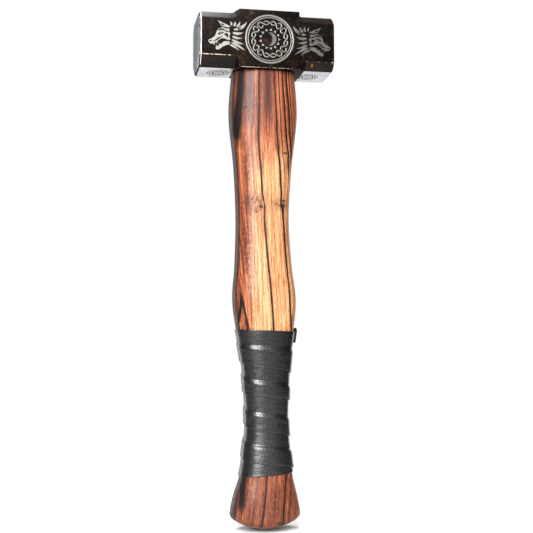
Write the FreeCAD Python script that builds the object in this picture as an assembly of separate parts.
"""Blacksmith's double-faced hammer: steel head, wedged wooden handle and a leather strip wound round the grip.

Frame: +Z runs up the handle towards the head, +X along the head to the right striking face, +Y to the back.
The origin is on the handle's axis, in the plane of the undersides of the two arms. All sizes in millimetres.
"""
import FreeCAD
import Part
import math
import os

Vec = FreeCAD.Vector

# ---- Driving dimensions: head ------------------------------------------------------------------------------
head_length = 108.0        # striking face to striking face
head_depth = 45.4          # cheek to cheek
arm_height = 43.8          # underside to top of the octagonal arms
upper_chamfer = 6.0        # flat taken off the upper long edges of the arms, measured along the cheek
lower_chamfer = {-1: 8.4, 1: 6.1}   # lower long edges; ground by hand, so left (-1) and right (1) differ
upper_runout = {-1: 6.5, 1: 3.0}    # hollow radius where the top of an arm rises into the block
lower_runout = {-1: 3.0, 1: 5.5}    # the same at the lower edges and the underside
block_side = {-1: 22.6, 1: 25.6}    # handle axis to each side of the square middle block
crown_rise = 2.0           # the block's top above the arms
belly_drop = 0.4           # the block's underside below the arms
face_bevel = 1.4           # bevel round each striking face

# ---- Driving dimensions: eye, an oval hole that narrows to a waist -----------------------------------------
eye_length = 32.0          # along the head, at both mouths
eye_width = 23.0           # across the head, at both mouths
eye_draw = 1.0             # how much narrower the waist is on each side
tenon_clearance = 0.05     # gap between the wedged tenon and the eye
tenon_proud = 1.4          # the tenon's end above the crown

# ---- Driving dimensions: handle ----------------------------------------------------------------------------
handle_drop = 359.5        # origin down to the lowest point of the handle
handle_squareness = 2.6    # exponent of the oval section: 2 is an ellipse, larger is squarer
butt_radius = 44.0         # dome of the butt
butt_edge_radius = 3.5     # softened edge between the bell and the butt

# Stations down the handle: name, share of the drop below the head, width, depth, sideways shift of the centre
handle_stations = [
    ("shoulder", 0.000, 50.6, 36.4, -0.2),
    ("upper_swell", 0.094, 54.6, 38.0, -0.3),
    ("upper_flank", 0.209, 46.4, 33.6, -0.6),
    ("waist", 0.324, 42.2, 31.0, -1.0),
    ("lower_flank", 0.426, 45.2, 32.4, -0.4),
    ("palm_swell", 0.513, 50.2, 34.6, 0.4),
    ("grip_flank", 0.640, 37.2, 28.6, 1.5),
    ("grip_neck", 0.712, 33.4, 26.6, 1.8),
    ("throat", 0.785, 32.4, 25.8, 1.9),
    ("bell_flank", 0.882, 41.0, 31.0, 1.5),
    ("bell_rise", 0.922, 48.8, 35.4, 0.8),
    ("bell", 0.962, 55.0, 39.2, 0.5),
    ("bell_end", 1.010, 56.0, 40.0, 0.6),
]
handle_slices = 44         # sections that carry the smooth side of the handle

# ---- Driving dimensions: wedges ----------------------------------------------------------------------------
wood_wedge_depth = 31.0    # how far it goes down into the tenon
wood_wedge_thick = 5.6     # across the head, at the tenon's end
wood_wedge_tip = 1.2
steel_wedge_depth = 22.0
steel_wedge_width = 15.0   # across the head
steel_wedge_thick = 3.2    # along the head, at the tenon's end
steel_wedge_tip = 0.6
steel_wedge_spacing = 14.0  # between the two steel wedges
steel_wedge_turn = 12.0    # degrees that both are skewed from square

# ---- Driving dimensions: leather strip ---------------------------------------------------------------------
strip_thick = 0.9
strip_rise = 35.2          # height of the strip, measured up the handle
strip_pitch = 24.8         # climb in one turn
strip_slack = 0.35         # share of that climb moved from the front to the back
strip_uneven = 3.4         # one turn, the second below the tail, was pulled up by this much
strip_stand = 42.4         # height of the bottom trim above the lowest point of the handle
strip_cover = 111.7        # height from the bottom trim to the top trim
strip_top_tilt = -0.045    # the top trim falls to the right by this slope
strip_base_tilt = 0.075    # the bottom trim rises to the right by this slope
strip_tail = 9.1           # height of the tail, the strip's end on the right side, below the top trim
tail_corner = 3.4          # the tail's upper corner stands above the top trim by this much
strip_start = 9.0          # least height of the strip at its start, under the next turn
tail_lift = 1.6            # the tail stands off the turn below by this much
glue_line = 0.15           # gap that the glue fills between wood and leather
layer_gap = 0.10           # gap between lapped layers
lap_ramp = 3.4             # height over which a lap steps down onto the wood
lap_margin = 0.8           # the step starts this far above the layer underneath
turn_steps = 36            # sections in one turn

# ---- Worked out from the above -----------------------------------------------------------------------------
half_length = head_length / 2
half_depth = head_depth / 2
half_arm = arm_height / 2
crown_z = arm_height + crown_rise
belly_z = -belly_drop
tenon_top = crown_z + tenon_proud
body_drop = handle_drop + belly_z
strip_base = strip_stand - handle_drop
strip_top = strip_base + strip_cover
beyond = 2 * head_length   # longer than anything it has to cut through


def arm_cutter(side, normal_angle, reach, runout):
    """Tool that planes one arm down to a plane and sweeps up into the block in a hollow radius.

    side is +1 or -1 along X. normal_angle is the plane's outward normal in the YZ plane, in degrees from +Y,
    and reach is its distance from the long axis of the arms.
    """
    angle = math.radians(normal_angle)
    outward = Vec(0, math.cos(angle), math.sin(angle))
    along_edge = Vec(0, -math.sin(angle), math.cos(angle))
    wall = block_side[side]
    middle = runout * math.sqrt(0.5)

    def at(x, height):
        return Vec(side * x, 0, half_arm) + outward * height - along_edge * beyond

    start, end = at(wall, reach + runout), at(wall + runout, reach)
    corners = [end, at(half_length + beyond, reach), at(half_length + beyond, beyond), at(wall, beyond), start]
    edges = [Part.Arc(start, at(wall + runout - middle, reach + runout - middle), end).toShape()]
    edges += [Part.makeLine(a, b) for a, b in zip(corners, corners[1:])]
    return Part.Face(Part.Wire(edges)).extrude(along_edge * (2 * beyond))


def oval(length, width, z):
    """Closed elliptical wire, long along X, at height z."""
    return Part.Wire(Part.Ellipse(Vec(length / 2, 0, z), Vec(0, width / 2, z), Vec(0, 0, z)).toShape())


def eye_core(shrink, low, high):
    """Solid with the shape of the eye, shrunk by a gap all round, from height low to height high."""
    waist_z = (belly_z + crown_z) / 2
    slope = eye_draw / (crown_z - waist_z)

    def section(z):
        narrower = 2 * (eye_draw - slope * abs(z - waist_z) + shrink)
        return oval(eye_length - narrower, eye_width - narrower, z)

    lower = Part.makeLoft([section(low), section(waist_z)], True, True)
    upper = Part.makeLoft([section(waist_z), section(high)], True, True)
    return lower.fuse(upper)


def make_head():
    """Square block with two octagonal arms, bevelled striking faces and the eye."""
    blank = Part.makeBox(head_length, head_depth, crown_z - belly_z, Vec(-half_length, -half_depth, belly_z))
    diagonal = (half_depth + half_arm) * math.sqrt(0.5)
    for side in (-1, 1):
        upper = diagonal - upper_chamfer * math.sqrt(0.5)
        lower = diagonal - lower_chamfer[side] * math.sqrt(0.5)
        blank = blank.cut(arm_cutter(side, 90, half_arm, upper_runout[side]))
        blank = blank.cut(arm_cutter(side, 270, half_arm, lower_runout[side]))
        for angle in (45, 135):
            blank = blank.cut(arm_cutter(side, angle, upper, upper_runout[side]))
            blank = blank.cut(arm_cutter(side, angle + 180, lower, lower_runout[side]))
    rim = [e for e in blank.Edges if all(abs(abs(v.X) - half_length) < 1e-6 for v in e.Vertexes)]
    blank = blank.makeChamfer(face_bevel, rim)
    return blank.cut(eye_core(0, belly_z - 1, crown_z + 1))


def station_at(z):
    """Width, depth and sideways shift of the handle at height z, on a smooth curve through the stations."""
    heights = [belly_z - share * body_drop for _, share, _, _, _ in handle_stations]
    rows = [row[2:] for row in handle_stations]
    z = min(max(z, heights[-1]), heights[0])
    i = next(k for k in range(len(heights) - 1) if z >= heights[k + 1])
    gap = heights[i + 1] - heights[i]
    t = (z - heights[i]) / gap

    def slope(k, column):
        before, after = max(k - 1, 0), min(k + 1, len(heights) - 1)
        return (rows[after][column] - rows[before][column]) / (heights[after] - heights[before]) * gap

    def blend(column):
        return ((2 * t**3 - 3 * t**2 + 1) * rows[i][column] + (t**3 - 2 * t**2 + t) * slope(i, column)
                + (3 * t**2 - 2 * t**3) * rows[i + 1][column] + (t**3 - t**2) * slope(i + 1, column))

    return blend(0), blend(1), blend(2)


def on_handle(turn, z, offset):
    """Point on the handle's side at a turn angle from +X and a height, moved out by an offset."""
    width, depth, shift = station_at(z)
    power = 2 / handle_squareness
    c, s = math.cos(turn), math.sin(turn)
    x = shift + (width / 2 + offset) * math.copysign(abs(c) ** power, c)
    y = (depth / 2 + offset) * math.copysign(abs(s) ** power, s)
    return Vec(x, y, z)


def handle_section(z, points=32):
    """Closed smooth wire round the handle at height z."""
    curve = Part.BSplineCurve()
    ring = [on_handle(2 * math.pi * (k + 0.5) / points, z, 0) for k in range(points)]
    curve.interpolate(Points=ring, PeriodicFlag=True, Parameters=[k / points for k in range(points + 1)])
    return Part.Wire(curve.toShape())


def taper(length, width, tip_width, top, depth):
    """Wedge that runs along X: width across at the top, tip_width at its lower end."""
    x, half_top, half_tip, tip = -length / 2, width / 2, tip_width / 2, top - depth
    outline = [Vec(x, -half_tip, tip), Vec(x, half_tip, tip), Vec(x, half_top, top), Vec(x, -half_top, top)]
    return Part.Face(Part.makePolygon(outline + outline[:1])).extrude(Vec(length, 0, 0))


def make_steel_wedge(side):
    wedge = taper(steel_wedge_width, steel_wedge_thick, steel_wedge_tip, tenon_top, steel_wedge_depth)
    wedge.rotate(Vec(0, 0, 0), Vec(0, 0, 1), 90 + steel_wedge_turn)
    wedge.translate(Vec(side * steel_wedge_spacing / 2, 0, 0))
    return wedge


def wood_wedge_blank():
    return taper(eye_length + 4 * eye_draw, wood_wedge_thick, wood_wedge_tip, tenon_top, wood_wedge_depth)


def make_wood_wedge():
    """Wooden wedge trimmed to the eye's oval and split by the two steel wedges."""
    wedge = wood_wedge_blank().common(eye_core(tenon_clearance, belly_z, tenon_top))
    return wedge.cut(make_steel_wedge(-1)).cut(make_steel_wedge(1))


def make_handle():
    """Oval body with a domed butt, and a tenon that fills the eye."""
    last = handle_stations[-1][1]
    heights = [belly_z - last * body_drop * k / (handle_slices - 1) for k in range(handle_slices)]
    body = Part.makeLoft([handle_section(z) for z in heights], True, False)
    dome_z = butt_radius - handle_drop
    mould = Part.makeSphere(butt_radius, Vec(0, 0, dome_z))
    mould = mould.fuse(Part.makeCylinder(butt_radius, handle_drop, Vec(0, 0, dome_z)))
    body = body.common(mould)
    rim = [e for e in body.Edges if e.BoundBox.ZMax < dome_z and e.BoundBox.ZLength < butt_radius / 2]
    body = body.makeFillet(butt_edge_radius, rim)
    tenon = eye_core(tenon_clearance, belly_z - tenon_proud, tenon_top)
    handle = body.fuse(tenon).cut(wood_wedge_blank())
    return handle.cut(make_steel_wedge(-1)).cut(make_steel_wedge(1))


def smooth(t):
    """Ease from 0 to 1."""
    t = min(max(t, 0), 1)
    return t * t * (3 - 2 * t)


def soft_max(a, b, softness=1.5):
    """The larger of two numbers, with the corner rounded off."""
    return (a + b + math.sqrt((a - b) ** 2 + softness**2)) / 2


def strip_levels(turns):
    """Lower and upper edge of the strip after a number of turns, counted up to zero at the tail."""
    angle = 2 * math.pi * turns
    reach = math.cos(angle) * station_at((strip_top + strip_base) / 2)[0] / 2
    floor = strip_base + strip_base_tilt * reach
    ceiling = strip_top + strip_top_tilt * reach + tail_corner * smooth(turns * 360 / 30 + 1)
    climb = strip_pitch * (turns + strip_slack / (2 * math.pi) * (math.cos(angle) - 1))
    climb += strip_uneven * math.exp(-((turns + 2) / 0.45) ** 2)
    low = strip_top - strip_tail + climb
    return soft_max(low, floor), -soft_max(-low - strip_rise, -ceiling)


def strip_rows(turns, first):
    """Heights across the strip and their offsets from the wood, closest together where the lap steps down.

    Near the top trim the turn below reaches as high as this one, so the lap has no room to step down and stays up.
    """
    low, high = strip_levels(turns)
    under = strip_levels(max(turns - 1, first))[1] + lap_margin
    started = smooth((turns - first - 1) * 360 / 24 + 1.2)
    step = max(under, low + 0.12 * (high - low))
    dense = min(step, high - 0.3 * (high - low) - lap_ramp)
    ramp_end = dense + lap_ramp
    rows = [low + (dense - low) * k / 4 for k in range(4)]
    rows += [dense + lap_ramp * k / 6 for k in range(6)]
    rows += [ramp_end + (high - ramp_end) * k / 6 for k in range(7)]
    curl = tail_lift * smooth(turns * 360 / 20 + 1)
    lifts = [(strip_thick + layer_gap) * started * (1 - smooth((z - step) / lap_ramp)) for z in rows]
    return [(z, glue_line + lift + curl) for z, lift in zip(rows, lifts)]


def skin_through(grid):
    """Smooth surface that passes through the points along the strip and is drawn to them across it."""
    count, across = len(grid), len(grid[0])
    columns = []
    for j in range(across):
        curve = Part.BSplineCurve()
        curve.interpolate(Points=[row[j] for row in grid], Parameters=[k / (count - 1) for k in range(count)])
        columns.append(curve)
    spans = across - 3
    skin = Part.BSplineSurface()
    skin.buildFromPolesMultsKnots(
        [list(poles) for poles in zip(*(curve.getPoles() for curve in columns))],
        columns[0].getMultiplicities(), [4] + [1] * (spans - 1) + [4],
        columns[0].getKnots(), [k / spans for k in range(spans + 1)], False, False, 3, 3)
    return skin


def make_strip():
    """The leather strip, from its hidden start at the base to its tail on the right side.

    It climbs to the front from the right, and every turn laps over the top of the turn below.
    """
    halves = 1
    while strip_levels(-halves / 2)[1] - strip_levels(-halves / 2)[0] > strip_start + 0.5 * strip_pitch:
        halves += 1
    first = -halves / 2
    count = round(halves / 2 * turn_steps)
    inner, outer = [], []
    for k in range(count + 1):
        turns = first + k / turn_steps
        rows = strip_rows(turns, first)
        inner.append([on_handle(-2 * math.pi * turns, z, offset) for z, offset in rows])
        outer.append([on_handle(-2 * math.pi * turns, z, offset + strip_thick) for z, offset in rows])
    skins = [skin_through(inner), skin_through(outer)]
    faces = [skin.toShape() for skin in skins]
    for end in (0, 1):
        edges = [skin.vIso(end).toShape() for skin in skins]
        faces.append(Part.makeRuledSurface(*edges, 1))
    for end in (0, 1):
        edges = [skin.uIso(end).toShape() for skin in skins]
        edges += [Part.makeLine(skins[0].value(end, v), skins[1].value(end, v)) for v in (0, 1)]
        faces.append(Part.Face(Part.Wire(Part.__sortEdges__(edges))))
    shell = Part.makeCompound(faces)
    shell.sewShape(0.001)
    strip = Part.makeSolid(shell.Shells[0] if shell.Shells else shell)
    if strip.Volume < 0:
        strip.reverse()
    return strip


def main():
    parts = {
        "hammer_head": make_head(),
        "handle": make_handle(),
        "wood_wedge": make_wood_wedge(),
        "steel_wedge_left": make_steel_wedge(-1),
        "steel_wedge_right": make_steel_wedge(1),
        "leather_strip": make_strip(),
    }
    os.makedirs("parts", exist_ok=True)
    for name, shape in parts.items():
        solid = shape.Solids[0]
        solid.exportStep(f"parts/{name}.step")
        box = solid.BoundBox
        print(f"{name}: {len(shape.Solids)} solid, valid {solid.isValid()}, {solid.Volume / 1000:.2f} cm3, "
              f"x {box.XMin:.1f} to {box.XMax:.1f}, z {box.ZMin:.1f} to {box.ZMax:.1f}")


main()
